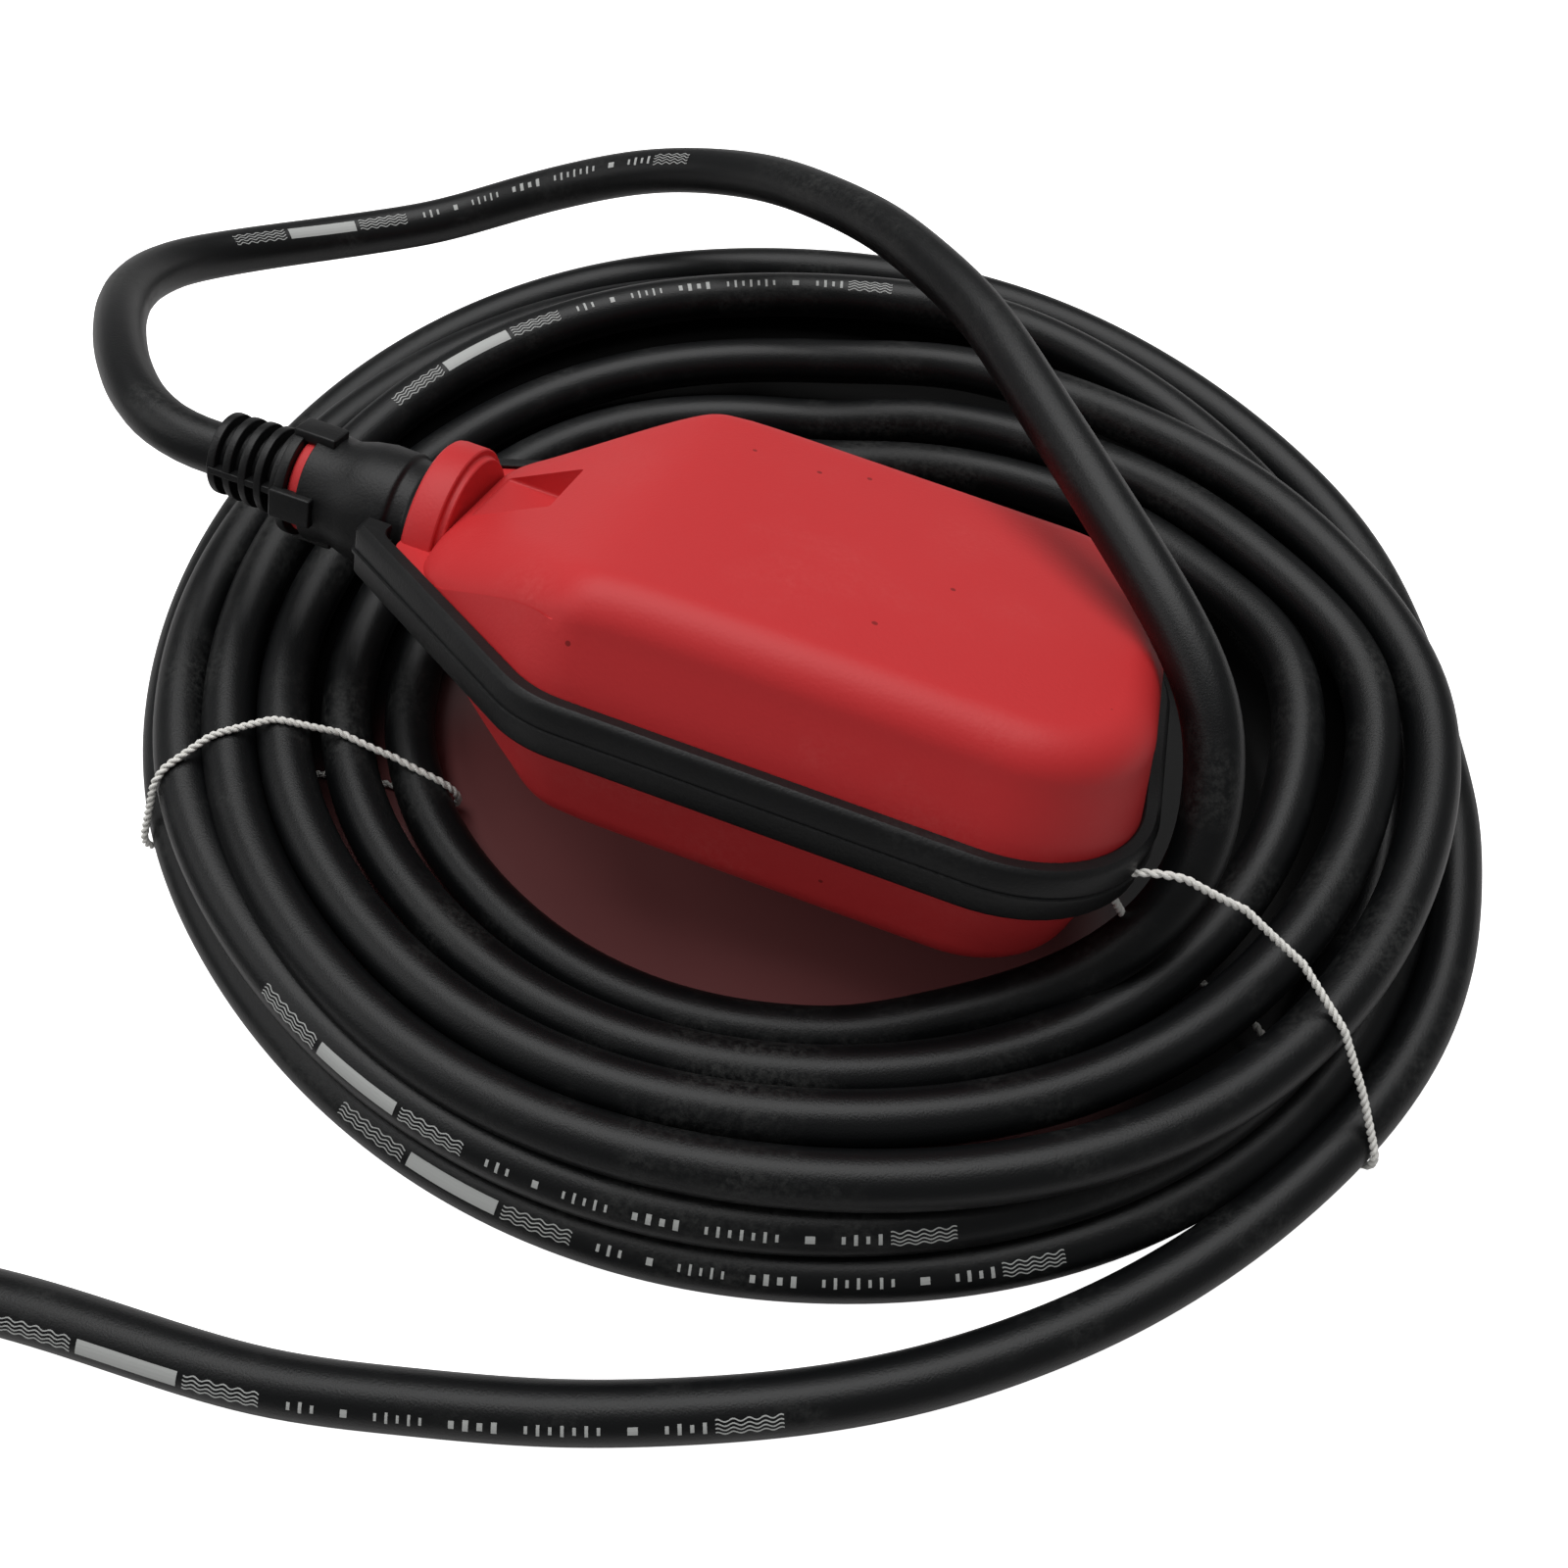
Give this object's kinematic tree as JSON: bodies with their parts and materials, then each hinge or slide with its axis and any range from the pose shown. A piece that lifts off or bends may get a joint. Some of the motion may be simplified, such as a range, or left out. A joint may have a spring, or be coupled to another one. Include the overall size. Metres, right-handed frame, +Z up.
{
  "type": "float switch",
  "caption": "Tilting float switch for a tank or pit: a two-shell plastic float in a rubber rim, with a rolling-ball microswitch, on a rubber lead tied in a coil.",
  "frame": {"origin": "on the table, under the middle of the float as it leans on its coil", "axes": "+Z up from the table; +X runs roughly from the float's neck to its far end; -Y is the side that the picture was taken from"},
  "size_m": [0.3653, 0.2465, 0.0669],
  "materials": {
    "red_shell": "satin",
    "black_overmould": "satin",
    "capsule_plastic": "satin",
    "screw_steel": "plated",
    "ball_steel": "polished",
    "spring_steel": "rolled",
    "switch_plastic": "satin",
    "switch_cover_plastic": "satin",
    "button_plastic": "smooth",
    "terminal_brass": "plated",
    "brown_insulation": "smooth",
    "blue_insulation": "smooth",
    "earth_insulation": "striped",
    "cable_rubber": "matt",
    "twine": "twisted"
  },
  "bodies": {
    "root": {"upper_shell": "red_shell", "lower_shell": "red_shell", "overmould": "black_overmould", "capsule_base": "capsule_plastic", "capsule_cover": "capsule_plastic", "capsule_screws": "screw_steel", "lever_pin": "screw_steel", "microswitch_case": "switch_plastic", "microswitch_cover": "switch_cover_plastic", "terminal_common": "terminal_brass", "terminal_open": "terminal_brass", "terminal_closed": "terminal_brass", "wire_receptacles": "terminal_brass", "core_brown": "brown_insulation", "core_blue": "blue_insulation", "core_earth": "earth_insulation", "cable_grip": "switch_plastic", "cable_tail": "cable_rubber", "cord_loop": "cable_rubber", "cord_coil": "cable_rubber", "cord_lead": "cable_rubber", "cord_end_coil": "cable_rubber", "cord_end": "cable_rubber", "end_core_brown": "brown_insulation", "end_core_blue": "blue_insulation", "end_core_earth": "earth_insulation", "tie_left": "twine", "tie_right": "twine", "tie_end": "twine"},
    "ball": {"steel_ball": "ball_steel"},
    "lever": {"switch_lever": "spring_steel"},
    "button": {"switch_button": "button_plastic"}
  },
  "joints": [
    {"name": "ball_roll", "type": "slide", "parent": "root", "child": "ball", "axis": [-0.9554, 0.279, 0.0967], "range_m": [0, 0.014]},
    {"name": "lever_swing", "type": "hinge", "parent": "root", "child": "lever", "pos_m": [0.02276, 0.01167, 0.02852], "axis": [0.1937, 0.345, 0.9184], "range_deg": [-8, 0]},
    {"name": "button_press", "type": "slide", "parent": "root", "child": "button", "axis": [-0.9554, 0.279, 0.0967], "range_m": [0, 0.00105]}
  ],
  "couplings": [
    {"joint": "lever_swing", "follows": "ball_roll", "rad_per_m": -9.9733},
    {"joint": "button_press", "follows": "ball_roll", "ratio": 0.075}
  ]
}
